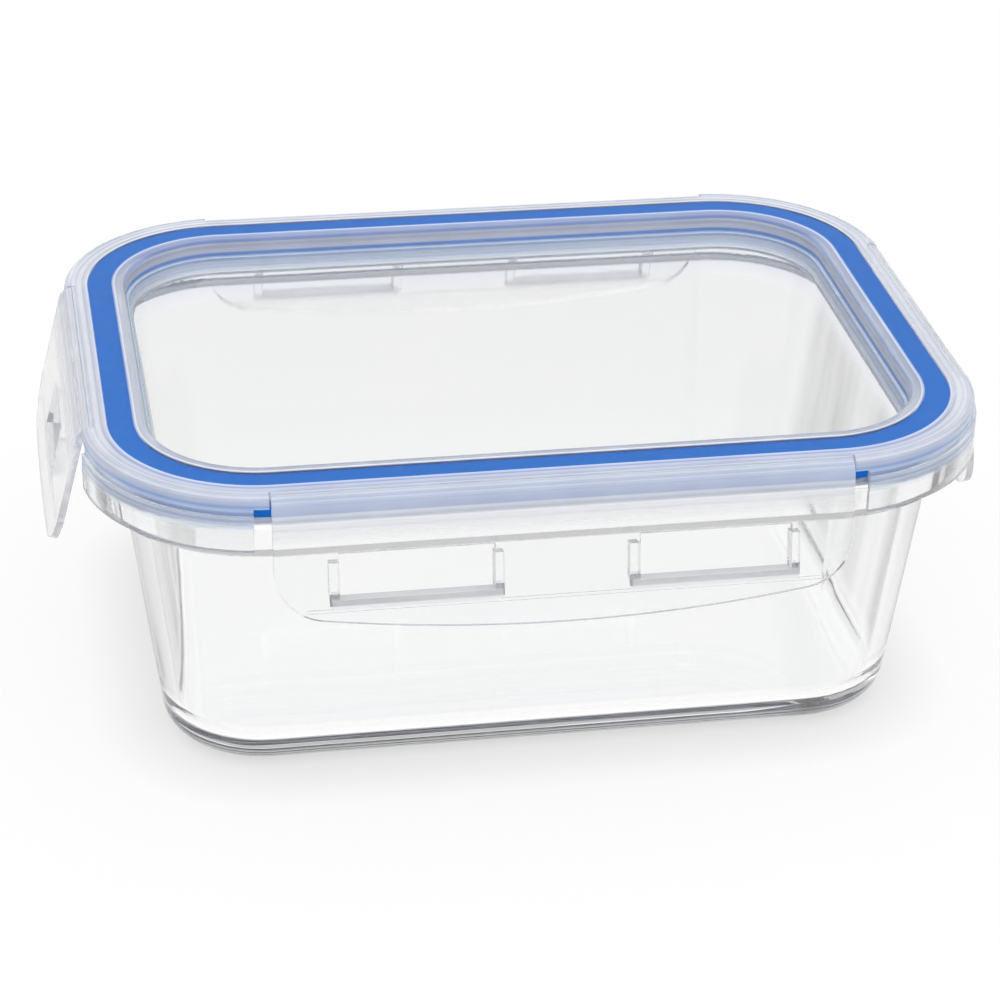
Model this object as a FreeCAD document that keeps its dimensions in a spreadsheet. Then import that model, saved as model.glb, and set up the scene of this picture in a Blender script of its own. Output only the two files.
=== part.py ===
# Clip-lid glass lunch box: glass tub, clear lid, seal ring and four latch flaps.
# Millimetres. Origin at the centre of the base, X along the long side, -Y to the front, Z up.
import math
import os

import FreeCAD, Part
import Sketcher

doc = FreeCAD.newDocument("lunch_box")
sheet = doc.addObject("Spreadsheet::Sheet", "Sizes")

SIZES = [
    # Overall outline, shared by every ring of the box: each ring is this outline moved in.
    ("lid_length", 205.0, "lid outline along X"),
    ("lid_breadth", 154.3, "lid outline along Y"),
    ("lid_corner", 40.0, "lid outline corner radius"),
    ("total_height", 78.5, "base to lid top"),
    # Lid moulding.
    ("rim_plate", 1.7, "thickness of the lid rim over the seal"),
    ("skirt_drop", 13.0, "corner skirt, lid top to lower edge"),
    ("skirt_wall", 1.5, "corner skirt wall"),
    ("skirt_step", 0.7, "upper part of the skirt set in by this much"),
    ("skirt_step_drop", 4.5, "lid top to the skirt step"),
    ("groove_depth", 3.0, "seal groove, rim underside to rib edge"),
    ("rib_wall", 1.1, "rib on each side of the seal groove"),
    ("recess_inset", 15.4, "lid outline to the edge of the sunken panel"),
    ("recess_upper", 4.8, "first step of the sunken panel"),
    ("recess_ledge", 0.8, "width of the step in the recess wall"),
    ("recess_depth", 8.5, "lid top to the sunken panel"),
    ("panel_thickness", 1.6, "sunken panel"),
    ("tray_wall", 2.0, "wall round the sunken panel"),
    ("lid_edge_round", 1.2, "rounding of the lid top edges"),
    # Seal ring.
    ("seal_inset", 6.5, "lid outline to the seal"),
    ("seal_width", 5.6, "seal across"),
    ("seal_height", 6.2, "seal between glass rim and lid"),
    ("seal_clearance", 0.2, "seal to each groove side"),
    ("seal_round", 0.6, "rounding of the seal edges"),
    # Glass tub.
    ("flange_inset", 3.0, "lid outline to the glass flange"),
    ("flange_height", 8.1, "glass flange, top to underside"),
    ("neck_inset", 9.1, "lid outline to the tub wall under the flange"),
    ("wall_draft", 7.4, "lean of the outer tub wall in degrees"),
    ("mouth_inset", 12.6, "lid outline to the tub mouth"),
    ("cavity_draft", 6.8, "lean of the inner tub wall in degrees"),
    ("base_thickness", 5.0, "glass base"),
    ("foot_round", 7.5, "rounding under the tub"),
    ("floor_round", 6.5, "rounding round the inner floor"),
    ("mouth_round", 1.4, "rounding of the glass rim"),
    ("flange_round", 0.8, "rounding under the flange"),
    # Latch flaps and their hinges.
    ("hinge_inset", 2.8, "lid outline to the hinge line"),
    ("hinge_drop", 0.5, "lid top to the hinge line"),
    ("web_radius", 0.4, "half thickness of the hinge web"),
    ("hinge_clearance", 0.08, "web to flap root"),
    ("root_gap", 0.2, "hinge line to the flap's inner root"),
    ("end_gap", 0.4, "flap end to the lid rim"),
    ("notch_width", 3.8, "gap between flap end and corner skirt"),
    ("notch_drop", 3.0, "lid top to the notch"),
    ("flap_wall", 1.6, "flap plate"),
    ("shoulder_drop", 3.0, "hinge line to the end of the flap shoulder"),
    ("bow_radius", 370.0, "radius of the flap's lower edge"),
    ("flap_corner", 12.0, "radius of the flap's lower corners"),
    ("hook_clearance", 0.3, "hook to flange underside"),
    ("hook_reach", 2.6, "hook beyond the flap plate"),
    ("hook_face", 7.7, "straight part of the hook"),
    ("hook_slope", 2.2, "tapered part of the hook"),
    ("hook_wall", 2.1, "hook beside each end of a window"),
    ("grip_rib_drop", 26.4, "hinge line to the grip rib"),
    ("grip_rib_width", 0.7, "grip rib up and down"),
    ("grip_rib_depth", 0.5, "grip rib beyond the flap plate"),
    ("grip_rib_end_gap", 7.0, "flap end to grip rib end"),
    ("window_top", 13.4, "hinge line to window"),
    ("window_height", 10.6, "window up and down"),
    ("long_flap", 128.0, "front and rear flap length"),
    ("long_drop", 32.5, "front and rear flap, hinge line to lower edge"),
    ("long_window", 34.0, "front and rear window length"),
    ("long_window_offset", 33.0, "flap centre to window centre"),
    ("short_flap", 76.0, "side flap length"),
    ("short_drop", 34.0, "side flap, hinge line to lower edge"),
    ("short_window", 24.0, "side window length"),
    ("front_open", 10.0, "front flap from latched, in degrees"),
    ("rear_open", 10.0, "rear flap from latched, in degrees"),
    ("right_open", 7.0, "right flap from latched, in degrees"),
    ("left_open", 14.0, "left flap from latched, in degrees"),
]

for row, (alias, value, note) in enumerate(SIZES, start=1):
    sheet.set(f"A{row}", alias)
    sheet.set(f"B{row}", str(value))
    sheet.set(f"C{row}", note)
    sheet.setAlias(f"B{row}", alias)
doc.recompute()

# Levels and insets worked out from the sheet.
RIM_UNDERSIDE = "Sizes.total_height - Sizes.rim_plate"
GLASS_TOP = "Sizes.total_height - Sizes.rim_plate - Sizes.seal_height"
FLANGE_BOTTOM = f"{GLASS_TOP} - Sizes.flange_height"
SKIRT_BOTTOM = "Sizes.total_height - Sizes.skirt_drop"
STEP_LEVEL = "Sizes.total_height - Sizes.skirt_step_drop"
HINGE_LEVEL = "Sizes.total_height - Sizes.hinge_drop"
SEAL_INNER = "Sizes.seal_inset + Sizes.seal_width"
TRAY_INNER = "Sizes.recess_inset + Sizes.recess_ledge"
HOOK_TOP = f"{HINGE_LEVEL} - ({FLANGE_BOTTOM}) + Sizes.hook_clearance"
SEAT_RADIUS = "Sizes.web_radius + Sizes.hinge_clearance"
PLATE_INNER = "Sizes.hinge_inset - Sizes.flap_wall"


def measure(expression):
    """Value of a sheet expression."""
    return float(sheet.evalExpression(expression))


def new_body(label):
    body = doc.addObject("PartDesign::Body", label)
    body.Label = label
    return body


def new_sketch(body, name, role, level="0"):
    """Sketch on one of the body's own origin planes, moved along its normal."""
    sketch = body.newObject("Sketcher::SketchObject", name)
    plane = next(item for item in body.Origin.OriginFeatures if item.Role == role)
    sketch.AttachmentSupport = [(plane, "")]
    sketch.MapMode = "FlatFace"
    sketch.setExpression("AttachmentOffset.Base.z", level)
    return sketch


def dimension(sketch, kind, *terms):
    """Add a dimension whose last term is a sheet expression."""
    index = sketch.addConstraint(Sketcher.Constraint(kind, *terms[:-1], measure(terms[-1])))
    sketch.setExpression(f"Constraints[{index}]", terms[-1])


def point(x, y):
    return FreeCAD.Vector(x, y, 0)


def arc(x, y, radius, start, end):
    """Counter-clockwise arc between two angles in degrees."""
    circle = Part.Circle(point(x, y), FreeCAD.Vector(0, 0, 1), radius)
    return Part.ArcOfCircle(circle, math.radians(start), math.radians(end))


def tie(sketch, kind, *terms):
    sketch.addConstraint(Sketcher.Constraint(kind, *terms))


def draw_ring(sketch, inset):
    """Lid outline moved in by the expression inset: four sides and four round corners."""
    half_x = f"Sizes.lid_length / 2 - ({inset})"
    half_y = f"Sizes.lid_breadth / 2 - ({inset})"
    corner = f"Sizes.lid_corner - ({inset})"
    x, y, r = measure(half_x), measure(half_y), measure(corner)
    sides = [
        sketch.addGeometry(Part.LineSegment(point(r - x, -y), point(x - r, -y))),
        sketch.addGeometry(Part.LineSegment(point(x, r - y), point(x, y - r))),
        sketch.addGeometry(Part.LineSegment(point(x - r, y), point(r - x, y))),
        sketch.addGeometry(Part.LineSegment(point(-x, y - r), point(-x, r - y))),
    ]
    corners = [
        sketch.addGeometry(arc(x - r, r - y, r, 270, 360)),
        sketch.addGeometry(arc(x - r, y - r, r, 0, 90)),
        sketch.addGeometry(arc(r - x, y - r, r, 90, 180)),
        sketch.addGeometry(arc(r - x, r - y, r, 180, 270)),
    ]
    for turn in range(4):
        tie(sketch, "Tangent", sides[turn], 2, corners[turn], 1)
        tie(sketch, "Tangent", corners[turn], 2, sides[(turn + 1) % 4], 1)
        tie(sketch, "Horizontal" if turn % 2 == 0 else "Vertical", sides[turn])
    for other in corners[1:]:
        tie(sketch, "Equal", corners[0], other)
    for turn in range(4):
        dimension(sketch, "Distance", -1, 1, sides[turn], half_y if turn % 2 == 0 else half_x)
    dimension(sketch, "Radius", corners[0], corner)


def draw_rectangle(sketch, left, right, low, high):
    """Rectangle from four signed expressions measured from the sketch origin."""
    x0, x1, y0, y1 = measure(left), measure(right), measure(low), measure(high)
    corners = [point(x0, y0), point(x1, y0), point(x1, y1), point(x0, y1)]
    sides = []
    for turn in range(4):
        sides.append(sketch.addGeometry(Part.LineSegment(corners[turn], corners[(turn + 1) % 4])))
    for turn in range(4):
        tie(sketch, "Coincident", sides[turn], 2, sides[(turn + 1) % 4], 1)
        tie(sketch, "Horizontal" if turn % 2 == 0 else "Vertical", sides[turn])
    dimension(sketch, "DistanceX", -1, 1, sides[0], 1, left)
    dimension(sketch, "DistanceX", -1, 1, sides[0], 2, right)
    dimension(sketch, "DistanceY", -1, 1, sides[0], 1, low)
    dimension(sketch, "DistanceY", -1, 1, sides[2], 1, high)


def solid(body, kind, name, profile, length, upward=True, both_ways=False, lean=None):
    """Pad or Pocket of a sketch, its length tied to the sheet."""
    before = body.Shape.Volume if body.Tip else 0.0
    feature = body.newObject(f"PartDesign::{kind}", name)
    feature.Profile = profile
    feature.setExpression("Length", length)
    if both_ways:
        feature.SideType = "Symmetric"
    else:
        feature.Reversed = upward == (kind == "Pocket")
    if lean:
        feature.setExpression("TaperAngle", lean)
    doc.recompute()
    change = feature.Shape.Volume - before
    if (change > 0) != (kind == "Pad"):
        raise ValueError(f"{name} changes the volume by {change:.2f}")
    return feature


def ring_solid(body, kind, name, insets, level, length, upward=True, lean=None):
    sketch = new_sketch(body, f"{name}_sketch", "XY_Plane", level)
    for inset in insets:
        draw_ring(sketch, inset)
    return solid(body, kind, name, sketch, length, upward=upward, lean=lean)


def soften(body, name, size, chosen):
    """Fillet of every edge that the test picks."""
    base = body.Tip
    names = []
    for index, edge in enumerate(base.Shape.Edges, start=1):
        if chosen(edge):
            names.append(f"Edge{index}")
    if not names:
        raise ValueError(f"no edge found for {name}")
    feature = body.newObject("PartDesign::Fillet", name)
    feature.Base = (base, names)
    feature.setExpression("Radius", size)
    doc.recompute()
    return feature


def inset_of(spot):
    """Distance of a point inside the lid outline."""
    corner = measure("Sizes.lid_corner")
    x = abs(spot.x) - measure("Sizes.lid_length") / 2 + corner
    y = abs(spot.y) - measure("Sizes.lid_breadth") / 2 + corner
    if x > 0 and y > 0:
        return corner - math.hypot(x, y)
    return corner - max(x, y)


def on_ring(level, inset=None):
    """Edge test: every sampled point at one level and, if given, one inset."""
    height = measure(level)
    wanted = None if inset is None else measure(inset)

    def test(edge):
        for fraction in (0.1, 0.5, 0.9):
            first, last = edge.ParameterRange
            spot = edge.valueAt(first + fraction * (last - first))
            if abs(spot.z - height) > 0.01:
                return False
            if wanted is not None and abs(inset_of(spot) - wanted) > 0.05:
                return False
        return True

    return test


def build_tub():
    """Pressed glass tub: leaning walls, heavy base and a deep flange round the mouth."""
    body = new_body("glass_tub")
    foot_inset = f"Sizes.neck_inset + ({FLANGE_BOTTOM}) * tan(Sizes.wall_draft * 1 deg)"
    ring_solid(body, "Pad", "tub_wall", [foot_inset], "0", FLANGE_BOTTOM, lean="Sizes.wall_draft")
    ring_solid(body, "Pad", "tub_flange", ["Sizes.flange_inset"], FLANGE_BOTTOM, "Sizes.flange_height")
    depth = f"{GLASS_TOP} - Sizes.base_thickness"
    ring_solid(body, "Pocket", "tub_cavity", ["Sizes.mouth_inset"], GLASS_TOP, depth,
               upward=False, lean="-Sizes.cavity_draft")
    soften(body, "tub_floor_round", "Sizes.floor_round", on_ring("Sizes.base_thickness"))
    soften(body, "tub_foot_round", "Sizes.foot_round", on_ring("0"))
    soften(body, "tub_mouth_round", "Sizes.mouth_round", on_ring(GLASS_TOP))
    soften(body, "tub_flange_round", "Sizes.flange_round",
           on_ring(FLANGE_BOTTOM, "Sizes.flange_inset"))


def flap_spaces(sketch, margin, reach):
    """Four rectangles over the flaps, from the hinge line outward."""
    for length, half, along_x in (("Sizes.long_flap", "Sizes.lid_breadth / 2", True),
                                  ("Sizes.short_flap", "Sizes.lid_length / 2", False)):
        end = f"{length} / 2 + {margin}"
        inner = f"{half} - Sizes.hinge_inset"
        outer = f"{half} + {reach}"
        for sign in (1, -1):
            near = inner if sign > 0 else f"-({outer})"
            far = outer if sign > 0 else f"-({inner})"
            if along_x:
                draw_rectangle(sketch, f"-({end})", end, near, far)
            else:
                draw_rectangle(sketch, near, far, f"-({end})", end)


def build_lid():
    """Clear lid: sunken panel, seal groove, corner skirts and hinge edges."""
    body = new_body("lid")
    ring_solid(body, "Pad", "skirt_block", ["0"], SKIRT_BOTTOM, f"({STEP_LEVEL}) - ({SKIRT_BOTTOM})")
    ring_solid(body, "Pad", "rim_block", ["Sizes.skirt_step"], STEP_LEVEL, "Sizes.skirt_step_drop")
    ring_solid(body, "Pocket", "skirt_inside", ["Sizes.skirt_step + Sizes.skirt_wall"], SKIRT_BOTTOM,
               "Sizes.skirt_drop - Sizes.rim_plate")
    ring_solid(body, "Pocket", "skirt_relief", ["Sizes.skirt_wall"], SKIRT_BOTTOM,
               "Sizes.skirt_drop - Sizes.skirt_step_drop - Sizes.skirt_wall")
    rib_level = f"{RIM_UNDERSIDE} - Sizes.groove_depth"
    rib_inner = "Sizes.seal_inset - Sizes.seal_clearance"
    ring_solid(body, "Pad", "groove_rib", [f"{rib_inner} - Sizes.rib_wall", rib_inner], rib_level,
               "Sizes.groove_depth")
    rib_outer = f"{SEAL_INNER} + Sizes.seal_clearance"
    ring_solid(body, "Pad", "inner_rib", [rib_outer, f"{rib_outer} + Sizes.rib_wall"], rib_level,
               "Sizes.groove_depth")
    tray_level = "Sizes.total_height - Sizes.recess_depth - Sizes.panel_thickness"
    ring_solid(body, "Pad", "tray", [f"{TRAY_INNER} - Sizes.tray_wall"], tray_level,
               f"{RIM_UNDERSIDE} - ({tray_level})")
    ring_solid(body, "Pocket", "recess_top", ["Sizes.recess_inset"], "Sizes.total_height",
               "Sizes.recess_upper", upward=False)
    ring_solid(body, "Pocket", "recess_floor", [TRAY_INNER], "Sizes.total_height",
               "Sizes.recess_depth", upward=False)
    soften(body, "rim_round", "Sizes.lid_edge_round",
           on_ring("Sizes.total_height", "Sizes.skirt_step"))
    soften(body, "recess_round", "Sizes.lid_edge_round",
           on_ring("Sizes.total_height", "Sizes.recess_inset"))
    soften(body, "panel_round", "Sizes.lid_edge_round",
           on_ring("Sizes.total_height - Sizes.recess_depth"))
    spaces = new_sketch(body, "flap_space_sketch", "XY_Plane", "Sizes.total_height")
    flap_spaces(spaces, "Sizes.end_gap", "Sizes.hinge_inset")
    solid(body, "Pocket", "flap_space", spaces, "Sizes.skirt_drop", upward=False)
    notches = new_sketch(body, "notch_sketch", "XY_Plane", "Sizes.total_height - Sizes.notch_drop")
    flap_spaces(notches, "Sizes.notch_width", "Sizes.hinge_inset")
    solid(body, "Pocket", "notch", notches, "Sizes.skirt_drop", upward=False)
    for role, half, length in (("YZ_Plane", "Sizes.lid_breadth / 2", "Sizes.long_flap"),
                               ("XZ_Plane", "Sizes.lid_length / 2", "Sizes.short_flap")):
        plane = role[:2].lower()
        run = f"{length} + 2 * Sizes.end_gap"
        bevels = new_sketch(body, f"hinge_bevel_{plane}_sketch", role)
        seats = new_sketch(body, f"hinge_seat_{plane}_sketch", role)
        for sign in ("", "-"):
            hinge_line = f"{sign}({half} - Sizes.hinge_inset)"
            draw_bevel(bevels, hinge_line, f"{sign}({half} - Sizes.hinge_inset - 2 * Sizes.hinge_drop)")
            draw_round(seats, hinge_line, HINGE_LEVEL, "Sizes.web_radius")
        solid(body, "Pocket", f"hinge_bevel_{plane}", bevels, run, both_ways=True)
        solid(body, "Pocket", f"hinge_seat_{plane}", seats, run, both_ways=True)


def draw_bevel(sketch, across, inward):
    """Triangle over the hinge line that cuts the lid's edge back at 45 degrees."""
    top = f"{HINGE_LEVEL} + 2 * Sizes.hinge_drop"
    foot = point(measure(across), measure(HINGE_LEVEL))
    corner = point(measure(across), measure(top))
    back = point(measure(inward), measure(top))
    upright = sketch.addGeometry(Part.LineSegment(foot, corner))
    lid_side = sketch.addGeometry(Part.LineSegment(corner, back))
    slope = sketch.addGeometry(Part.LineSegment(back, foot))
    tie(sketch, "Coincident", upright, 2, lid_side, 1)
    tie(sketch, "Coincident", lid_side, 2, slope, 1)
    tie(sketch, "Coincident", slope, 2, upright, 1)
    tie(sketch, "Vertical", upright)
    tie(sketch, "Horizontal", lid_side)
    dimension(sketch, "DistanceX", -1, 1, upright, 1, across)
    dimension(sketch, "DistanceY", -1, 1, upright, 1, HINGE_LEVEL)
    dimension(sketch, "DistanceY", -1, 1, upright, 2, top)
    dimension(sketch, "DistanceX", -1, 1, lid_side, 2, inward)


def draw_round(sketch, across, up, radius):
    """Full circle placed by two signed expressions."""
    circle = Part.Circle(point(measure(across), measure(up)), FreeCAD.Vector(0, 0, 1), measure(radius))
    ring = sketch.addGeometry(circle)
    dimension(sketch, "DistanceX", -1, 1, ring, 3, across)
    dimension(sketch, "DistanceY", -1, 1, ring, 3, up)
    dimension(sketch, "Radius", ring, radius)


def build_seal():
    """Silicone ring that fills the lid's groove and bears on the glass rim."""
    body = new_body("seal")
    ring_solid(body, "Pad", "seal_ring", ["Sizes.seal_inset", SEAL_INNER], GLASS_TOP, "Sizes.seal_height")
    soften(body, "seal_edge_round", "Sizes.seal_round", on_ring(GLASS_TOP))


def draw_flap_profile(sketch, drop):
    """Flap section: concave root round the web, round shoulder and straight plate."""
    seat, root = measure(SEAT_RADIUS), measure("Sizes.root_gap")
    outer, inner = measure("Sizes.hinge_inset"), measure(PLATE_INNER)
    shoulder, low = measure("Sizes.shoulder_drop"), measure(drop)
    radius = ((outer - seat) ** 2 + shoulder ** 2) / (2 * (outer - seat))
    centre = radius - outer
    top_angle = math.degrees(math.atan2(shoulder, -seat - centre))
    root_angle = math.degrees(math.acos(-root / seat))
    curve = sketch.addGeometry(arc(centre, -shoulder, radius, top_angle, 180))
    outside = sketch.addGeometry(Part.LineSegment(point(-outer, -shoulder), point(-outer, -low)))
    edge = sketch.addGeometry(Part.LineSegment(point(-outer, -low), point(-inner, -low)))
    inside = sketch.addGeometry(Part.LineSegment(point(-inner, -low), point(-inner, -shoulder)))
    root_spot = point(-root, -math.sqrt(seat ** 2 - root ** 2))
    slope = sketch.addGeometry(Part.LineSegment(point(-inner, -shoulder), root_spot))
    hollow = sketch.addGeometry(arc(0, 0, seat, 180, 360 - root_angle))
    tie(sketch, "Coincident", hollow, 3, -1, 1)
    tie(sketch, "Coincident", hollow, 1, curve, 1)
    tie(sketch, "PointOnObject", hollow, 1, -1)
    tie(sketch, "Tangent", curve, 2, outside, 1)
    tie(sketch, "Vertical", outside)
    tie(sketch, "Coincident", outside, 2, edge, 1)
    tie(sketch, "Horizontal", edge)
    tie(sketch, "Coincident", edge, 2, inside, 1)
    tie(sketch, "Vertical", inside)
    tie(sketch, "Coincident", inside, 2, slope, 1)
    tie(sketch, "Coincident", slope, 2, hollow, 2)
    tie(sketch, "Horizontal", curve, 2, inside, 2)
    dimension(sketch, "Radius", hollow, SEAT_RADIUS)
    dimension(sketch, "DistanceX", outside, 2, -1, 1, "Sizes.hinge_inset")
    dimension(sketch, "DistanceX", inside, 1, -1, 1, PLATE_INNER)
    dimension(sketch, "DistanceY", outside, 1, -1, 1, "Sizes.shoulder_drop")
    dimension(sketch, "DistanceY", outside, 2, -1, 1, drop)
    dimension(sketch, "DistanceX", slope, 2, -1, 1, "Sizes.root_gap")


def draw_hook_profile(sketch):
    """Hook section: flat top under the flange, straight face, slope back to the plate."""
    high = measure(HOOK_TOP)
    face = f"{HOOK_TOP} + Sizes.hook_face"
    low = f"{face} + Sizes.hook_slope"
    tip = f"Sizes.hook_reach - ({PLATE_INNER})"
    spots = [point(-measure(PLATE_INNER), -high), point(measure(tip), -high),
             point(measure(tip), -measure(face)), point(-measure(PLATE_INNER), -measure(low))]
    sides = []
    for turn in range(4):
        sides.append(sketch.addGeometry(Part.LineSegment(spots[turn], spots[(turn + 1) % 4])))
    for turn in range(4):
        tie(sketch, "Coincident", sides[turn], 2, sides[(turn + 1) % 4], 1)
    tie(sketch, "Horizontal", sides[0])
    tie(sketch, "Vertical", sides[1])
    tie(sketch, "Vertical", sides[3])
    dimension(sketch, "DistanceX", sides[0], 1, -1, 1, PLATE_INNER)
    dimension(sketch, "DistanceX", -1, 1, sides[0], 2, tip)
    dimension(sketch, "DistanceY", sides[0], 1, -1, 1, HOOK_TOP)
    dimension(sketch, "DistanceY", sides[2], 1, -1, 1, face)
    dimension(sketch, "DistanceY", sides[3], 1, -1, 1, low)


def draw_flap_outline(sketch, length, drop):
    """Face view of the flap: straight ends, round lower corners, bowed lower edge."""
    half, low = measure(length) / 2, measure(drop)
    bow, corner = measure("Sizes.bow_radius"), measure("Sizes.flap_corner")
    centre_up = bow - low
    corner_x = half - corner
    corner_up = centre_up - math.sqrt((bow - corner) ** 2 - corner_x ** 2)
    lean = math.degrees(math.atan2(corner_up - centre_up, corner_x))
    roof = measure("Sizes.shoulder_drop")
    top = sketch.addGeometry(Part.LineSegment(point(half, roof), point(-half, roof)))
    left = sketch.addGeometry(Part.LineSegment(point(-half, roof), point(-half, corner_up)))
    left_turn = sketch.addGeometry(arc(-corner_x, corner_up, corner, 180, 180 - lean))
    bottom = sketch.addGeometry(arc(0, centre_up, bow, 180 - lean, 360 + lean))
    right_turn = sketch.addGeometry(arc(corner_x, corner_up, corner, 360 + lean, 360))
    right = sketch.addGeometry(Part.LineSegment(point(half, corner_up), point(half, roof)))
    tie(sketch, "Coincident", top, 2, left, 1)
    tie(sketch, "Tangent", left, 2, left_turn, 1)
    tie(sketch, "Tangent", left_turn, 2, bottom, 1)
    tie(sketch, "Tangent", bottom, 2, right_turn, 1)
    tie(sketch, "Tangent", right_turn, 2, right, 1)
    tie(sketch, "Coincident", right, 2, top, 1)
    tie(sketch, "Horizontal", top)
    tie(sketch, "Vertical", left)
    tie(sketch, "Vertical", right)
    tie(sketch, "Equal", left_turn, right_turn)
    tie(sketch, "PointOnObject", bottom, 3, -2)
    dimension(sketch, "Radius", right_turn, "Sizes.flap_corner")
    dimension(sketch, "Radius", bottom, "Sizes.bow_radius")
    dimension(sketch, "DistanceY", -1, 1, bottom, 3, f"Sizes.bow_radius - {drop}")
    dimension(sketch, "DistanceX", left, 1, -1, 1, f"{length} / 2")
    dimension(sketch, "DistanceX", -1, 1, right, 2, f"{length} / 2")
    dimension(sketch, "DistanceY", -1, 1, top, 1, "Sizes.shoulder_drop")


SIDES = [
    # Name, turn about Z, length, drop, window length, window centres.
    ("front", 0, "Sizes.long_flap", "Sizes.long_drop", "Sizes.long_window",
     ("Sizes.long_window_offset", "-Sizes.long_window_offset")),
    ("right", 90, "Sizes.short_flap", "Sizes.short_drop", "Sizes.short_window", ("0",)),
    ("rear", 180, "Sizes.long_flap", "Sizes.long_drop", "Sizes.long_window",
     ("Sizes.long_window_offset", "-Sizes.long_window_offset")),
    ("left", 270, "Sizes.short_flap", "Sizes.short_drop", "Sizes.short_window", ("0",)),
]


def put_on_hinge(thing, turn, tilt):
    """Place a piece drawn about its hinge line on its side of the lid."""
    half = "Sizes.lid_breadth / 2" if turn % 180 == 0 else "Sizes.lid_length / 2"
    out = f"({half} - Sizes.hinge_inset)"
    thing.Placement.Rotation = FreeCAD.Rotation(turn, 0, tilt)
    if turn % 180 == 0:
        thing.setExpression("Placement.Base.y", out if turn == 180 else f"-{out}")
    else:
        thing.setExpression("Placement.Base.x", out if turn == 90 else f"-{out}")
    thing.setExpression("Placement.Base.z", HINGE_LEVEL)


def build_flap(side, turn, length, drop, window, centres):
    """Latch flap: plate with round shoulder, a hook round each window and a grip rib inside."""
    body = new_body(f"{side}_flap")
    profile = new_sketch(body, f"{side}_plate_sketch", "YZ_Plane")
    draw_flap_profile(profile, drop)
    solid(body, "Pad", f"{side}_plate", profile, length, both_ways=True)
    for count, centre in enumerate(centres, start=1):
        hook = new_sketch(body, f"{side}_hook_{count}_sketch", "YZ_Plane", centre)
        draw_hook_profile(hook)
        solid(body, "Pad", f"{side}_hook_{count}", hook, f"{window} + 2 * Sizes.hook_wall", both_ways=True)
    rib = new_sketch(body, f"{side}_grip_rib_sketch", "YZ_Plane")
    draw_rectangle(rib, f"-({PLATE_INNER})", f"Sizes.grip_rib_depth - ({PLATE_INNER})",
                   "-(Sizes.grip_rib_drop + Sizes.grip_rib_width)", "-Sizes.grip_rib_drop")
    solid(body, "Pad", f"{side}_grip_rib", rib, f"{length} - 2 * Sizes.grip_rib_end_gap", both_ways=True)
    trim = new_sketch(body, f"{side}_trim_sketch", "XZ_Plane")
    draw_flap_outline(trim, length, drop)
    draw_rectangle(trim, f"-({length})", length, f"-2 * {drop}", "2 * Sizes.shoulder_drop")
    solid(body, "Pocket", f"{side}_trim", trim, "4 * Sizes.hinge_inset", both_ways=True)
    panes = new_sketch(body, f"{side}_window_sketch", "XZ_Plane")
    for centre in centres:
        draw_rectangle(panes, f"{centre} - {window} / 2", f"{centre} + {window} / 2",
                       "-(Sizes.window_top + Sizes.window_height)", "-Sizes.window_top")
    solid(body, "Pocket", f"{side}_window", panes, "4 * Sizes.hinge_inset", both_ways=True)
    put_on_hinge(body, turn, -measure(f"Sizes.{side}_open"))


def build_web(side, turn, length):
    """Hinge web: slim round strip on the hinge line between lid and flap."""
    body = new_body(f"{side}_hinge_web")
    section = new_sketch(body, f"{side}_web_sketch", "YZ_Plane")
    draw_round(section, "0", "0", "Sizes.web_radius")
    solid(body, "Pad", f"{side}_web", section, length, both_ways=True)
    put_on_hinge(body, turn, 0)


build_tub()
build_lid()
build_seal()
for side, turn, length, drop, window, centres in SIDES:
    build_flap(side, turn, length, drop, window, centres)
    build_web(side, turn, length)
doc.recompute()

for thing in doc.Objects:
    if "Invalid" in thing.State or "Error" in thing.State:
        raise ValueError(f"{thing.Name} is {thing.State}")

os.makedirs("parts", exist_ok=True)
for body in doc.findObjects("PartDesign::Body"):
    if body.Shape.isNull() or not body.Shape.isValid():
        raise ValueError(f"{body.Label} has no valid shape")
    body.Shape.exportStep(f"parts/{body.Label}.step")
    box = body.Shape.BoundBox
    print(f"{body.Label}: {box.XLength:.1f} x {box.YLength:.1f} x {box.ZLength:.1f} mm")
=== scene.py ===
# Looks of the glass lunch box: clear pressed glass, clear moulded lid and flaps, blue seal.
# Laid out as an add-on and run as a script. Metres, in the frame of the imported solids.
import math
from collections import namedtuple

import bmesh
import bpy
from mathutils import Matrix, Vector


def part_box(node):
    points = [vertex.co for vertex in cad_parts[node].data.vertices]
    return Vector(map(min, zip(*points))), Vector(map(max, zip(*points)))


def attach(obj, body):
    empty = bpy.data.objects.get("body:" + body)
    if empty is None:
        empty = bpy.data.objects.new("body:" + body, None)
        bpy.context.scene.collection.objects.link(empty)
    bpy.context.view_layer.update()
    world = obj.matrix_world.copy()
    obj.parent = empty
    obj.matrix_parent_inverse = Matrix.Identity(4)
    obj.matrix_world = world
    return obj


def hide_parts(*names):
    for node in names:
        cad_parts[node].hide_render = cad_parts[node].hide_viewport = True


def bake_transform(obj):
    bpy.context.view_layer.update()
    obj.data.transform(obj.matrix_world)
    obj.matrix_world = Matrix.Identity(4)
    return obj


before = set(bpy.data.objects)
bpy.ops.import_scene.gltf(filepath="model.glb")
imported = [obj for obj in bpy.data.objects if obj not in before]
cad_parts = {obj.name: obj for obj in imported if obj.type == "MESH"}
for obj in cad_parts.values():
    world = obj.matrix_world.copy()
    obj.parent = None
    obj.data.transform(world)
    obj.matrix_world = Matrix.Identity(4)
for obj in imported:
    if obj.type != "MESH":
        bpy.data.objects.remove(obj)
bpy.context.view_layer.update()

bl_info = {
    "name": "Glass lunch box",
    "version": (1, 0, 0),
    "blender": (4, 5, 0),
    "location": "View3D > Sidebar > Lunch box",
    "description": "Finishes, hinge webs and studio of a glass lunch box with a clip-on lid",
    "category": "Object",
}

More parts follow.
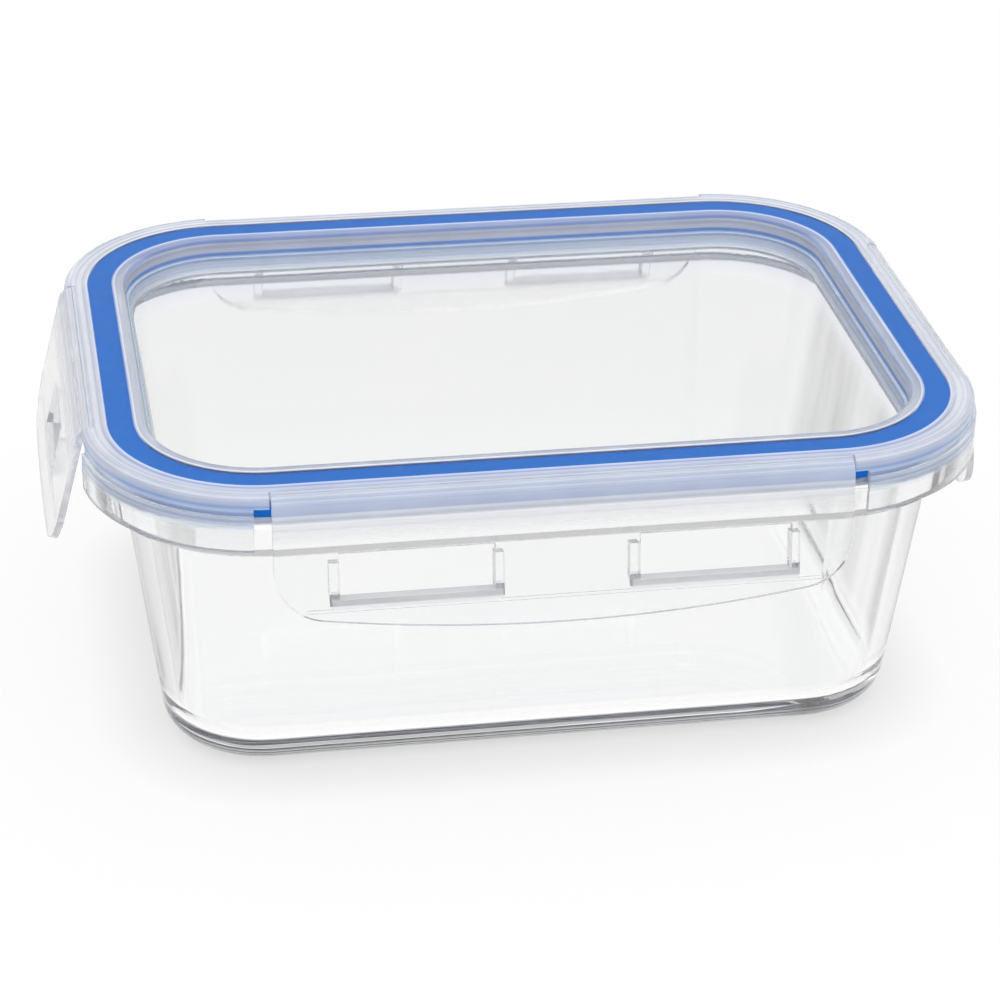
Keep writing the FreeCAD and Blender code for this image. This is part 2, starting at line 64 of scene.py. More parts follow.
FLAP_SIDES = ("front", "right", "rear", "left")
LONG_SIDES = ("front", "rear")
LID_BODY = "lid_body"
UP = Vector((0, 0, 1))

# Lid outline: half lengths and corner radius. Every ring of the box shares its corner centres.
HALF_X = 0.1025
HALF_Y = 0.07715
CORNER = 0.040
CENTRE_X = HALF_X - CORNER
CENTRE_Y = HALF_Y - CORNER
# Insets from the lid outline: both sides of the seal's groove, and the sunken panel.
SEAL_OUTER = 0.0063
SEAL_INNER = 0.0123
PANEL_EDGE = 0.0168
# Levels of the lid, and of the thick shoulder of its flaps.
RIM_UNDERSIDE = 0.0768
SEAL_MIDDLE = 0.0742
SEAL_FOOT = 0.0706
SHOULDER_FULL = 0.0710
SHOULDER_FOOT = 0.0670
# Levels of the sill under the windows.
SILL_TOP = 0.0552
SILL_FOOT = 0.0525
# Levels of the tub: its ground lip and its plain walls.
GLASS_LIP = 0.0704
WALL_TOP = 0.060
WALL_FOOT = 0.014
# Half widths of a painted zone's edge.
CRISP = 0.0001
SOFT = 0.0002
BROAD = 0.0004
WALL_FADE = 0.004
# Noise, in features per metre.
RIPPLES = 28.0
FLOW_MARKS = 45.0
CLOUDS = 60.0
SHADE_STREAKS = 60.0
WASH_MARKS = 160.0
BLOOM = 220.0
GROUND_GRAIN = 300.0
SCUFFS = 420.0
RING_HIGHLIGHTS = 900.0
MOULD_GRAIN = 2600.0
SILICONE_GRAIN = 3200.0

# Shares of a clear finish: frosted, milky, painted with the seal's light, painted with a thin stripe of
# the seal's full colour for its reflection, and painted highlight rings.
Zones = namedtuple("Zones", "frost milk blue line ribs")
# A kind of flap: the axis it runs along, where its windows lie from its middle, its milk, and its tint,
# the share of the seal's light painted into it.
Flap = namedtuple("Flap", "along windows milk tint")
LONG_FLAP = Flap(along=0, windows=(0.0143, 0.0517), milk=0.05, tint=0.25)
SHORT_FLAP = Flap(along=1, windows=(-0.0010, 0.0137), milk=0.2, tint=0.1)
# A clear moulding: its roughness where it is frosted, and how cloudy its milky zones are.
Moulding = namedtuple("Moulding", "frost milk")
LID_MOULDING = Moulding(frost=0.04, milk=0.45)
FLAP_MOULDING = Moulding(frost=0.03, milk=0.6)


class Socket:
    """One output of a node, with arithmetic that adds Math nodes."""

    def __init__(self, tree, output):
        self.tree = tree
        self.output = output

    def math(self, operation, first, second):
        return Nodes(self.tree).add("ShaderNodeMath", {"operation": operation}, {0: first, 1: second})

    def __add__(self, other):
        return self.math("ADD", self, other)

    def __radd__(self, other):
        return self.math("ADD", other, self)

    def __sub__(self, other):
        return self.math("SUBTRACT", self, other)

    def __rsub__(self, other):
        return self.math("SUBTRACT", other, self)

    def __mul__(self, other):
        return self.math("MULTIPLY", self, other)

    def __rmul__(self, other):
        return self.math("MULTIPLY", other, self)

    def power(self, exponent):
        return self.math("POWER", self, exponent)

    def at_least(self, limit):
        return self.math("MAXIMUM", self, limit)

    def size(self):
        """Value without its sign."""
        return self.at_least(-1.0 * self)

    def above(self, low, high):
        """0 below low, 1 above high, smooth between."""
        return Nodes(self.tree).add(
            "ShaderNodeMapRange",
            {"interpolation_type": "SMOOTHSTEP"},
            {"Value": self, "From Min": low, "From Max": high},
        )

    def between(self, low, high, soft):
        """1 from low to high, 0 outside, soft at both ends."""
        return self.above(low - soft, low + soft) - self.above(high - soft, high + soft)


def feed(tree, slot, value):
    """Link a socket or set a plain value."""
    if isinstance(value, Socket):
        tree.links.new(value.output, slot)
    else:
        slot.default_value = value


class Nodes:
    """Adds nodes to one tree."""

    def __init__(self, tree):
        self.tree = tree

    def add(self, kind, settings=None, inputs=None, output=0):
        """One node of a kind: its settings first, then the values or links of its sockets."""
        node = self.tree.nodes.new(kind)
        for name, value in (settings or {}).items():
            setattr(node, name, value)
        for name, value in (inputs or {}).items():
            feed(self.tree, node.inputs[name], value)
        return Socket(self.tree, node.outputs[output])

    def blend_colours(self, mask, first, second):
        inputs = {"Factor": mask, "A": first, "B": second}
        return self.add("ShaderNodeMix", {"data_type": "RGBA"}, inputs, "Result")

    def coordinates(self, kind="Object"):
        """Texture coordinates: an object's own are those of the frame at rest."""
        return self.add("ShaderNodeTexCoord", output=kind)

    def split(self, vector):
        """The three parts of a vector."""
        node = self.add("ShaderNodeSeparateXYZ", inputs={0: vector}).output.node
        return [Socket(self.tree, part) for part in node.outputs]

    def place(self):
        """The three coordinates of a surface point in the frame, at rest."""
        return self.split(self.coordinates())

    def noise(self, scale, detail=2.0, roughness=0.5, vector=None):
        """Noise over a vector, or over the frame at rest: scale is in features per metre."""
        inputs = {
            "Vector": vector or self.coordinates(),
            "Scale": scale,
            "Detail": detail,
            "Roughness": roughness,
        }
        return self.add("ShaderNodeTexNoise", inputs=inputs)

    def bump(self, height, depth, strength):
        inputs = {"Height": height, "Distance": depth, "Strength": strength}
        return self.add("ShaderNodeBump", inputs=inputs)

    def matt(self, colour, roughness):
        """Shader that lets no light through."""
        inputs = {"Base Color": colour, "Roughness": roughness}
        return self.add("ShaderNodeBsdfPrincipled", inputs=inputs)

    def faces(self, axis):
        """1 where a surface faces along an axis of the frame, at rest, and 0 on edges that turn away."""
        normal = self.split(self.coordinates("Normal"))
        return normal[axis].size().above(0.3, 0.7)

    def lid_inset(self, x, y):
        """Distance of a surface point inside the lid outline."""
        past_x = (x.size() - CENTRE_X).at_least(0.0)
        past_y = (y.size() - CENTRE_Y).at_least(0.0)
        return CORNER - (past_x * past_x + past_y * past_y).power(0.5)

    def painted_ring_highlights(self):
        """Painted highlights: fine light rings that run round the lid, level by level and ring by ring.
        """
        x, y, z = self.place()
        section = self.add("ShaderNodeCombineXYZ", inputs={0: self.lid_inset(x, y), 1: z})
        return self.noise(RING_HIGHLIGHTS, detail=1.0, vector=section).above(0.4, 0.62)

    def painted_edge_shade(self):
        """Painted shade: dark, streaky shade on the tub's walls where they are seen along their face,
        standing in for dark refractions at the glass edges.
        """
        drawn_out = (1.0, 1.0, 0.08)
        inputs = {0: self.coordinates(), 1: drawn_out}
        upright = self.add("ShaderNodeVectorMath", {"operation": "MULTIPLY"}, inputs)
        shade_streaks = self.noise(SHADE_STREAKS, vector=upright).above(0.35, 0.7)
        facing = self.add("ShaderNodeLayerWeight", inputs={"Blend": 0.5}, output="Facing")
        wall = self.place()[2].between(WALL_FOOT, WALL_TOP, WALL_FADE)
        return wall * facing.above(0.4, 0.85) * (0.2 + 0.4 * shade_streaks)


def opaque(colour):
    return (*colour, 1.0)


def grey(level):
    return (level, level, level, 1.0)


def new_finish(name, constants):
    """Material with a Principled shader and the constants of its plain sockets."""
    finish = bpy.data.materials.new(name)
    finish.use_nodes = True
    shader = finish.node_tree.nodes["Principled BSDF"]
    for socket, value in constants.items():
        shader.inputs[socket].default_value = value
    return finish


def vary(finish, values):
    """Feed the sockets of a finish that change over the surface."""
    tree = finish.node_tree
    shader = tree.nodes["Principled BSDF"]
    for socket, value in values.items():
        feed(tree, shader.inputs[socket], value)


def lay_over(finish, share, shader):
    """Lay a share of a second shader over a finish."""
    tree = finish.node_tree
    surface = tree.nodes["Material Output"].inputs["Surface"]
    under = Socket(tree, surface.links[0].from_socket)
    mixed = Nodes(tree).add("ShaderNodeMixShader", inputs={0: share, 1: under, 2: shader})
    feed(tree, surface, mixed)


def pressed_glass(tint):
    """Clear glass with the slow ripple of a pressed piece, faint wash marks, a ground lip and painted
    shade in streaky bands where its walls are seen edge on.
    """
    finish = new_finish("pressed_glass", {"Transmission Weight": 1.0, "IOR": 1.5})
    nodes = Nodes(finish.node_tree)
    ripple = nodes.noise(RIPPLES, detail=1.0)
    marks = nodes.noise(WASH_MARKS, detail=3.0).above(0.55, 0.8)
    vary(finish, {
        "Base Color": nodes.blend_colours(ripple, opaque(tint), grey(1.0)),
        "Roughness": marks * 0.02,
        "Normal": nodes.bump(ripple, depth=0.0002, strength=0.4),
    })
    lip = nodes.place()[2].above(GLASS_LIP - SOFT, GLASS_LIP)
    ground = 0.5 + 0.3 * nodes.noise(GROUND_GRAIN)
    lay_over(finish, lip * ground, nodes.matt(grey(0.8), roughness=0.6))
    # Painted shade: dark grey laid over the glass in streaky bands where its walls are seen edge on.
    lay_over(finish, nodes.painted_edge_shade(), nodes.matt(grey(0.12), roughness=0.4))
    return finish


def lid_zones(nodes):
    """Lid: clear on the panel and over the seal; milky, with the seal's light painted in, on rim, skirts
    and recess wall; painted highlights beside the seal.
    """
    rim_fade = 0.001
    band_gap = 0.0006
    line_width = 0.0008
    outer_highlight_width = 0.0004
    inner_highlight = (SEAL_INNER - 0.0002, SEAL_INNER + 0.0006)
    x, y, z = nodes.place()
    inset = nodes.lid_inset(x, y)
    rim = 1.0 - inset.above(SEAL_OUTER - SOFT, SEAL_OUTER + SOFT)
    wall = inset.between(SEAL_INNER, PANEL_EDGE, SOFT)
    top = z.above(RIM_UNDERSIDE - rim_fade, RIM_UNDERSIDE)
    rim_top = rim * top
    skirt = rim * (1.0 - top)
    low_band = z.between(SEAL_FOOT, SEAL_MIDDLE, BROAD)
    high_band = z.between(SEAL_MIDDLE + band_gap, RIM_UNDERSIDE, BROAD)
    # Painted reflection: a thin stripe of the seal's full colour, as if seen through the recess wall.
    line = z.between(SEAL_MIDDLE, SEAL_MIDDLE + line_width, SOFT)
    # Painted highlights: thin milky strips along both sides of the seal's groove.
    seal_edge_highlight = 0.3 * inset.between(SEAL_OUTER - outer_highlight_width, SEAL_OUTER, CRISP)
    seal_edge_highlight = seal_edge_highlight + 0.8 * inset.between(*inner_highlight, CRISP)
    skirt_milk = skirt * (0.25 + 0.7 * low_band + 1.1 * high_band)
    wall_milk = wall * (1.7 - 0.8 * top)
    # Painted light: the seal's colour, as it would shine into the skirt and recess wall, painted by
    # level.
    skirt_seal_light = skirt * (0.7 * low_band + high_band)
    wall_seal_light = wall * (0.1 + 0.8 * low_band + 0.2 * top)
    return Zones(
        frost=rim + wall,
        milk=1.3 * rim_top + skirt_milk + wall_milk + seal_edge_highlight,
        blue=0.2 * rim_top + wall_seal_light + skirt_seal_light,
        line=0.9 * wall * line + 0.2 * skirt * high_band,
        ribs=rim + wall,
    )


def flap_zones(nodes, flap):
    """Flap: milky, with the seal's light painted in, in its thick shoulder; milky with a painted
    highlight on its edges; milky under its windows.
    """
    band_fade = 0.0008
    line_levels = (SEAL_MIDDLE - 0.0011, SEAL_MIDDLE - 0.0005)
    window_fade = 0.0003
    spot = nodes.place()
    z = spot[2]
    shoulder = z.above(SHOULDER_FOOT, SHOULDER_FULL)
    high_band = z.above(SEAL_MIDDLE - band_fade, SEAL_MIDDLE)
    # Painted reflection: a thin stripe of the seal's colour across the flap.
    line = z.between(*line_levels, SOFT)
    # Painted highlight: extra milk on the flap's edges that turn away.
    edge = (1.0 - nodes.faces(1 - flap.along)) * (1.0 - shoulder)
    windows = spot[flap.along].size().between(*flap.windows, window_fade)
    sill = z.between(SILL_FOOT, SILL_TOP, SOFT) * windows
    shoulder_milk = (0.8 - flap.milk) * shoulder + 0.2 * high_band
    return Zones(
        frost=0.5 + 0.5 * shoulder,
        milk=flap.milk + shoulder_milk + 0.4 * edge + 0.7 * sill,
        blue=flap.tint * (0.4 * shoulder + high_band),
        line=flap.tint * line,
        ribs=shoulder,
    )


def add_milk(finish, finishes, amount, zone):
    """Mix milky scatter into a clear finish, with the seal's light painted in where it stands close, and
    painted highlight rings.
    """
    nodes = Nodes(finish.node_tree)
    lines = zone.ribs * nodes.painted_ring_highlights()
    # Painted light: the seal's colour and its reflected stripe blended into the milk.
    colour = nodes.blend_colours(zone.blue, opaque(finishes.milk), opaque(finishes.seal_light_colour))
    colour = nodes.blend_colours(zone.line, colour, opaque(finishes.seal))
    # Painted highlights: rings of near white in the milk.
    colour = nodes.blend_colours(0.5 * lines, colour, grey(0.97))
    clouds = 0.6 + 0.4 * nodes.noise(CLOUDS) + 0.4 * lines
    inputs = {"Base Color": colour, "Roughness": 0.8, "Transmission Weight": 0.25, "IOR": 1.2}
    cloudy = nodes.add("ShaderNodeBsdfPrincipled", inputs=inputs)
    lay_over(finish, amount * zone.milk * clouds, cloudy)


def moulded_plastic(name, finishes, moulding, zones, *kind):
    """Clear moulded plastic: fine mould grain, softer gloss in patches, frosted and milky by zone."""
    gloss = 0.02
    constants = {"Transmission Weight": 1.0, "IOR": 1.48, "Specular IOR Level": 0.25}
    finish = new_finish(name, constants)
    nodes = Nodes(finish.node_tree)
    zone = zones(nodes, *kind)
    flow = nodes.noise(FLOW_MARKS)
    grain = nodes.noise(MOULD_GRAIN)
    scuffs = nodes.noise(SCUFFS, detail=4.0, roughness=0.7).above(0.6, 0.85)
    vary(finish, {
        "Base Color": nodes.blend_colours(flow, opaque(finishes.plastic), grey(1.0)),
        "Roughness": gloss + scuffs * gloss + moulding.frost * zone.frost,
        "Normal": nodes.bump(flow * 0.9 + grain * 0.1, depth=0.0001, strength=0.4),
    })
    add_milk(finish, finishes, moulding.milk, zone)
    return finish


def flap_plastic(name, finishes, flap):
    """Clear moulded plastic for one kind of flap."""
    return moulded_plastic(name, finishes, FLAP_MOULDING, flap_zones, flap)


def silicone(colour):
    """Matt moulded silicone with a dusty bloom."""
    finish = new_finish("blue_silicone", {"Specular IOR Level": 0.15})
    nodes = Nodes(finish.node_tree)
    bloom = nodes.noise(BLOOM, detail=4.0, roughness=0.6)
    dust_level, dust_share = 0.55, 0.06
    dusty = tuple((1 - dust_share) * part + dust_share * dust_level for part in colour)
    vary(finish, {
        "Base Color": nodes.blend_colours(bloom.above(0.45, 0.85), opaque(colour), opaque(dusty)),
        "Roughness": 0.5 + bloom * 0.2,
        "Normal": nodes.bump(nodes.noise(SILICONE_GRAIN), depth=0.00008, strength=0.5),
    })
    return finish


def paint_node(name, finish):
    """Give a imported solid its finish."""
    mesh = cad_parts[name].data
    mesh.materials.clear()
    mesh.materials.append(finish)


def corner_point(quarter, turn, inset, height):
    """Point on one of the lid outline's four corner arcs, moved in by inset: turn runs from 0 to 1."""
    angle = math.radians(90 * (quarter + turn))
    centre_x = CENTRE_X if quarter in (0, 3) else -CENTRE_X
    centre_y = CENTRE_Y if quarter in (0, 1) else -CENTRE_Y
    radius = CORNER - inset
    return Vector((centre_x + radius * math.cos(angle), centre_y + radius * math.sin(angle), height))


def join_rings(shape, first, second):
    """Band of faces between two loops of points."""
    count = len(first)
    for step in range(count):
        following = (step + 1) % count
        shape.faces.new((first[step], second[step], second[following], first[following]))


def mesh_from(shape, name):
    """Mesh with all faces turned outwards."""
    bmesh.ops.recalc_face_normals(shape, faces=shape.faces)
    mesh = bpy.data.meshes.new(name)
    shape.to_mesh(mesh)
    shape.free()
    return mesh


def ring_mesh(name, profile, steps):
    """Closed ring swept round the lid outline: profile is a loop of (inset, height) points."""
    shape = bmesh.new()
    rings = []
    for quarter in range(4):
        for step in range(steps + 1):
            points = [corner_point(quarter, step / steps, *spot) for spot in profile]
            rings.append([shape.verts.new(point) for point in points])
    for ring, following in zip(rings, rings[1:] + rings[:1]):
        join_rings(shape, ring, following)
    for face in shape.faces:
        face.smooth = True
    return mesh_from(shape, name)


def rounded_loop(left, right, low, high, radius, steps=4):
    """Rectangle of (inset, height) points with round corners."""
    corners = (
        (right - radius, high - radius),
        (left + radius, high - radius),
        (left + radius, low + radius),
        (right - radius, low + radius),
    )
    loop = []
    for quarter, (across, up) in enumerate(corners):
        for step in range(steps + 1):
            angle = math.radians(90 * (quarter + step / steps))
            loop.append((across + radius * math.cos(angle), up + radius * math.sin(angle)))
    return loop


def add_piece(context, name, mesh, finish):
    """New object with its finish, in the scene."""
    mesh.materials.append(finish)
    piece = bpy.data.objects.new(name, mesh)
    context.scene.collection.objects.link(piece)
    return piece


class LunchBoxFinishes(bpy.types.PropertyGroup):
    """Colours of the three materials."""

    glass: bpy.props.FloatVectorProperty(
        name="Glass", description="Tint of the tub", subtype="COLOR", size=3,
        min=0.0, max=1.0, default=(0.985, 0.992, 0.99))
    plastic: bpy.props.FloatVectorProperty(
        name="Plastic", description="Tint of the lid and flaps", subtype="COLOR", size=3,
        min=0.0, max=1.0, default=(0.985, 0.987, 0.995))
    milk: bpy.props.FloatVectorProperty(
        name="Milk", description="Scatter inside the plastic", subtype="COLOR", size=3,
        min=0.0, max=1.0, default=(0.93, 0.938, 0.978))
    # Colour of the seal's light, painted into the plastic beside the seal.
    seal_light_colour: bpy.props.FloatVectorProperty(
        name="Blue milk", description="Scatter beside the seal", subtype="COLOR", size=3,
        min=0.0, max=1.0, default=(0.48, 0.66, 0.95))
    seal: bpy.props.FloatVectorProperty(
        name="Seal", description="Silicone seal", subtype="COLOR", size=3,
        min=0.0, max=1.0, default=(0.01, 0.26, 0.91))


class LunchBoxSizes(bpy.types.PropertyGroup):
    """Sizes of what is added to the solids."""

    web_radius: bpy.props.FloatProperty(
        name="Web", description="Half thickness of a hinge web", unit="LENGTH",
        default=0.00039, min=0.0001, max=0.001)
    seal_round: bpy.props.FloatProperty(
        name="Seal edge", description="Rounding of the seal", unit="LENGTH",
        default=0.0001, min=0.0001, max=0.0015)
    seal_air: bpy.props.FloatProperty(
        name="Seal air", description="Air film below the seal", unit="LENGTH",
        default=0.00012, min=0.0, max=0.0005)
    seal_bond: bpy.props.FloatProperty(
        name="Seal bond", description="How far the seal is pressed into its groove", unit="LENGTH",
        default=0.0001, min=0.0, max=0.0005)


class LunchBoxStudio(bpy.types.PropertyGroup):
    """Camera, floor and light."""

    camera_place: bpy.props.FloatVectorProperty(
        name="Camera", description="Where the camera stands", subtype="XYZ", unit="LENGTH",
        size=3, default=(-0.12305, -0.66313, 0.39223))
    camera_turn: bpy.props.FloatVectorProperty(
        name="Turn", description="Camera rotation", subtype="EULER", unit="ROTATION",
        size=3, default=(math.radians(61.938), math.radians(-1.087), math.radians(-9.886)))
    lens: bpy.props.FloatProperty(
        name="Lens", description="Focal length in millimetres on a 36 mm sensor",
        default=113.15, min=10.0, max=300.0)
    light_bounces: bpy.props.IntProperty(
        name="Bounces", description="Surfaces that light may cross in the clear walls",
        default=40, min=8, max=128)
    floor_size: bpy.props.FloatProperty(
        name="Floor", description="Side of the floor", unit="LENGTH", default=6.0, min=1.0)
    floor_glow: bpy.props.FloatProperty(
        name="Floor glow", description="Share of the floor's white that doesn't depend on the light",
        subtype="FACTOR", default=0.85, min=0.0, max=1.0)
    floor_edge: bpy.props.FloatProperty(
        name="Floor edge", description="Brightness of the far floor as seen through the clear walls",
        subtype="FACTOR", default=0.05, min=0.0, max=1.0)
    shadow_reach: bpy.props.FloatProperty(
        name="Shadow reach", description="Width of the close shadow round the foot", unit="LENGTH",
        default=0.018, min=0.0, max=0.2)
    shadow_share: bpy.props.FloatProperty(
        name="Shadow share", description="Strength of the close shadow", subtype="FACTOR",
        default=0.5, min=0.0, max=1.0)
    shadow_tone: bpy.props.FloatProperty(
        name="Shadow tone", description="Brightness of the close shadow", subtype="FACTOR",
        default=0.4, min=0.0, max=1.0)
    far_wall: bpy.props.FloatProperty(
        name="Far wall", description="Brightness of the wall behind the sweep",
        default=0.45, min=0.0, max=3.0)
    front_fill: bpy.props.FloatProperty(
        name="Front fill", description="Brightness of the light before the box",
        default=1.3, min=0.0, max=3.0)
    flags: bpy.props.FloatProperty(
        name="Flags", description="Brightness of the dark flags beside the box and round the horizon",
        default=0.1, min=0.0, max=3.0)
    softbox: bpy.props.FloatProperty(
        name="Soft box", description="Brightness of the light overhead",
        default=1.5, min=0.0, max=3.0)


class LUNCHBOX_OT_tub(bpy.types.Operator):
    """Finish the glass tub"""

    bl_idname = "lunchbox.tub"
    bl_label = "Glass tub"

    def execute(self, context):
        paint_node("glass_tub", pressed_glass(context.scene.lunchbox_finishes.glass))
        return {"FINISHED"}


class LUNCHBOX_OT_lid(bpy.types.Operator):
    """Finish the lid and its four flaps"""

    bl_idname = "lunchbox.lid"
    bl_label = "Lid and flaps"

    def execute(self, context):
        finishes = context.scene.lunchbox_finishes
        paint_node("lid", moulded_plastic("lid_plastic", finishes, LID_MOULDING, lid_zones))
        long_finish = flap_plastic("long_flap_plastic", finishes, LONG_FLAP)
        short_finish = flap_plastic("short_flap_plastic", finishes, SHORT_FLAP)
        for side in FLAP_SIDES:
            paint_node(f"{side}_flap", long_finish if side in LONG_SIDES else short_finish)
        return {"FINISHED"}


class LUNCHBOX_OT_seal(bpy.types.Operator):
    """Seal ring, pressed into its groove in the lid and a hair clear of the glass"""

    bl_idname = "lunchbox.seal"
    bl_label = "Seal"

    corner_steps = 24

    def execute(self, context):
        sizes = context.scene.lunchbox_sizes
        low, high = (Vector(corner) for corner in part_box("seal"))
        profile = rounded_loop(
            SEAL_OUTER - sizes.seal_bond,
            SEAL_INNER + sizes.seal_bond,
            low.z + sizes.seal_air,
            high.z + sizes.seal_bond,
            sizes.seal_round,
        )
        mesh = ring_mesh("seal_mesh", profile, self.corner_steps)
        piece = add_piece(context, "seal_ring", mesh, silicone(context.scene.lunchbox_finishes.seal))
        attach(piece, LID_BODY)
        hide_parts("seal")
        return {"FINISHED"}


class LUNCHBOX_OT_webs(bpy.types.Operator):
    """Hinge webs between the lid and its flaps"""

    bl_idname = "lunchbox.webs"
    bl_label = "Hinge webs"

    ring_points = 16

    def execute(self, context):
        radius = context.scene.lunchbox_sizes.web_radius
        finishes = context.scene.lunchbox_finishes
        finish = flap_plastic("web_plastic", finishes, LONG_FLAP)
        for side in FLAP_SIDES:
            self.add_web(context, side, radius, finish)
        return {"FINISHED"}

    def add_web(self, context, side, radius, finish):
        low, high = (Vector(corner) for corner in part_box(f"{side}_hinge_web"))
        centre = (low + high) / 2
        along = Vector((1, 0, 0)) if side in LONG_SIDES else Vector((0, 1, 0))
        out = UP.cross(along)
        if out.dot(centre) < 0:
            out = -out
        half = (high - low).dot(along) / 2
        shape = bmesh.new()
        ends = []
        for end in (-half, half):
            ring = []
            for step in range(self.ring_points):
                angle = 2 * math.pi * step / self.ring_points
                spot = out * math.cos(angle) + UP * math.sin(angle)
                ring.append(shape.verts.new(centre + along * end + spot * radius))
            ends.append(ring)
        join_rings(shape, *ends)
        for ring in ends:
            shape.faces.new(ring)
        piece = add_piece(context, f"{side}_flexing_web", mesh_from(shape, f"{side}_web_mesh"), finish)
        centre - out * radius
        centre + out * radius
        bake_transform(piece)
        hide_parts(f"{side}_hinge_web")


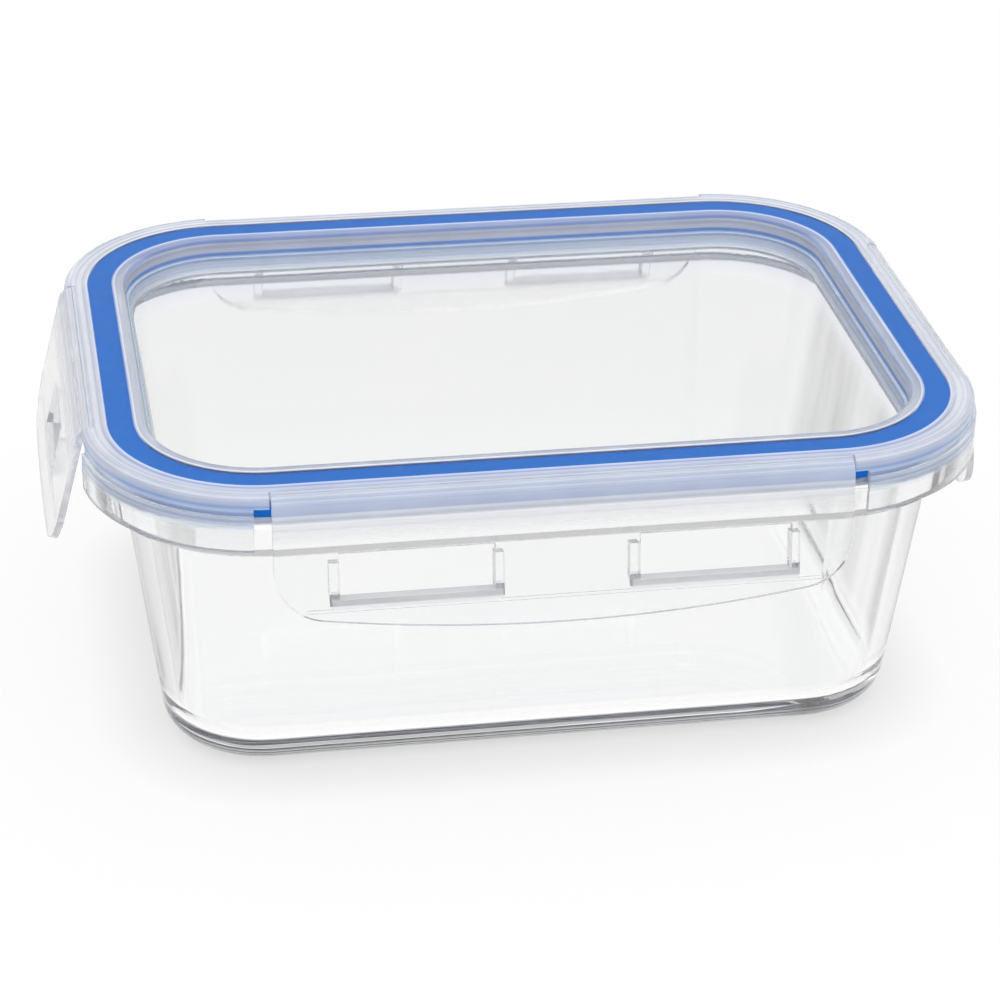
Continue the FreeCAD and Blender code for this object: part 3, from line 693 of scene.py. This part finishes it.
class LUNCHBOX_OT_stage(bpy.types.Operator):
    """Floor, light and camera"""

    bl_idname = "lunchbox.stage"
    bl_label = "Studio"

    floor_gap = 0.0002
    paper_white = 0.9
    # Squares of the distances at which the floor seen through glass starts and ends its fall to dark.
    floor_fall = (0.6, 1.5)
    shadow_samples = 8
    # Edges of the side flags, on the square of a direction's sideways part and on its height.
    flag_side = (0.3, 0.45)
    flag_height = (0.3, 0.45)
    # Edges of the other cards, on the height or depth of a direction of length 1.
    horizon_flag = (0.1, 0.18)
    wall_edge = (0.3, 0.5)
    fill_edge = (0.1, 0.3)
    softbox_edge = (0.55, 0.75)
    sensor_width = 36.0
    nearest_view = 0.01

    def execute(self, context):
        studio = context.scene.lunchbox_studio
        self.add_floor(context, studio)
        self.add_world(context, studio)
        self.add_camera(context, studio)
        context.scene.view_settings.view_transform = "Standard"
        context.scene.cycles.max_bounces = studio.light_bounces
        context.scene.cycles.transmission_bounces = studio.light_bounces
        context.scene.cycles.glossy_bounces = studio.light_bounces
        return {"FINISHED"}

    def add_floor(self, context, studio):
        half = studio.floor_size / 2
        mesh = bpy.data.meshes.new("floor_mesh")
        corners = [(-half, -half, 0), (half, -half, 0), (half, half, 0), (-half, half, 0)]
        mesh.from_pydata(corners, [], [(0, 1, 2, 3)])
        floor = add_piece(context, "floor", mesh, self.white_sweep(studio))
        floor.location.z = -self.floor_gap

    def white_sweep(self, studio):
        """White floor with a close shadow round the foot, and dark far off to rays through glass."""
        finish = bpy.data.materials.new("white_sweep")
        finish.use_nodes = True
        tree = finish.node_tree
        tree.nodes.remove(tree.nodes["Principled BSDF"])
        nodes = Nodes(tree)
        through_glass = nodes.add("ShaderNodeLightPath", output="Is Transmission Ray")
        bare = nodes.add("ShaderNodeLightPath", output="Is Camera Ray")
        x, y, _ = nodes.place()
        far = (x * x + y * y).above(*self.floor_fall)
        colour = nodes.blend_colours(far * through_glass, grey(1.0), grey(studio.floor_edge))
        settings = {"samples": self.shadow_samples}
        inputs = {"Distance": studio.shadow_reach}
        open_air = nodes.add("ShaderNodeAmbientOcclusion", settings, inputs, "AO")
        shadow = studio.shadow_share * bare * (1.0 - open_air)
        colour = nodes.blend_colours(shadow, colour, grey(studio.shadow_tone))
        paper = nodes.add("ShaderNodeBsdfDiffuse", inputs={"Color": grey(self.paper_white)})
        glow = nodes.add("ShaderNodeEmission", inputs={"Color": colour, "Strength": 1.0})
        glow_share = studio.floor_glow + (1.0 - studio.floor_glow) * through_glass
        mixed = nodes.add("ShaderNodeMixShader", inputs={0: glow_share, 1: paper, 2: glow})
        feed(tree, tree.nodes["Material Output"].inputs["Surface"], mixed)
        return finish

    def add_world(self, context, studio):
        """White to the camera, and a room of light cards and dark flags to the object."""
        world = bpy.data.worlds.new("studio")
        context.scene.world = world
        world.use_nodes = True
        tree = world.node_tree
        tree.nodes.remove(tree.nodes["Background"])
        nodes = Nodes(tree)
        x, y, z = nodes.split(nodes.coordinates("Generated"))
        beside = (x * x).above(*self.flag_side) * (1.0 - z.above(*self.flag_height))
        horizon = 1.0 - z.above(*self.horizon_flag)
        flags = beside + horizon - beside * horizon
        room = nodes.blend_colours(y.above(*self.wall_edge), grey(1.0), grey(studio.far_wall))
        room = nodes.blend_colours((-1.0 * y).above(*self.fill_edge), room, grey(studio.front_fill))
        room = nodes.blend_colours(flags, room, grey(studio.flags))
        colour = nodes.blend_colours(z.above(*self.softbox_edge), room, grey(studio.softbox))
        cards = nodes.add("ShaderNodeBackground", inputs={"Color": colour, "Strength": 1.0})
        plain = nodes.add("ShaderNodeBackground", inputs={"Color": grey(1.0), "Strength": 1.0})
        seen = nodes.add("ShaderNodeLightPath", output="Is Camera Ray")
        mixed = nodes.add("ShaderNodeMixShader", inputs={0: seen, 1: cards, 2: plain})
        feed(tree, tree.nodes["World Output"].inputs["Surface"], mixed)

    def add_camera(self, context, studio):
        data = bpy.data.cameras.new("photo_camera")
        data.sensor_width = self.sensor_width
        data.lens = studio.lens
        data.clip_start = self.nearest_view
        camera = bpy.data.objects.new("photo_camera", data)
        camera.location = studio.camera_place
        camera.rotation_euler = studio.camera_turn
        context.scene.collection.objects.link(camera)
        context.scene.camera = camera


class LUNCHBOX_PT_panel(bpy.types.Panel):
    """Sidebar panel with every step and setting"""

    bl_idname = "LUNCHBOX_PT_panel"
    bl_label = "Lunch box"
    bl_space_type = "VIEW_3D"
    bl_region_type = "UI"
    bl_category = "Lunch box"

    def draw(self, context):
        for step in STEPS:
            self.layout.operator(step.bl_idname)
        for name, group in GROUPS.items():
            holder = getattr(context.scene, name)
            for setting in group.__annotations__:
                self.layout.prop(holder, setting)


STEPS = (LUNCHBOX_OT_tub, LUNCHBOX_OT_lid, LUNCHBOX_OT_seal, LUNCHBOX_OT_webs, LUNCHBOX_OT_stage)
GROUPS = {
    "lunchbox_finishes": LunchBoxFinishes,
    "lunchbox_sizes": LunchBoxSizes,
    "lunchbox_studio": LunchBoxStudio,
}
CLASSES = (*GROUPS.values(), *STEPS, LUNCHBOX_PT_panel)


def register():
    for cls in CLASSES:
        bpy.utils.register_class(cls)
    for name, group in GROUPS.items():
        setattr(bpy.types.Scene, name, bpy.props.PointerProperty(type=group))


def unregister():
    for name in GROUPS:
        delattr(bpy.types.Scene, name)
    for cls in reversed(CLASSES):
        bpy.utils.unregister_class(cls)


def main():
    register()
    bpy.ops.lunchbox.tub()
    bpy.ops.lunchbox.lid()
    bpy.ops.lunchbox.seal()
    bpy.ops.lunchbox.webs()
    bpy.ops.lunchbox.stage()


if __name__ == "__main__":
    main()
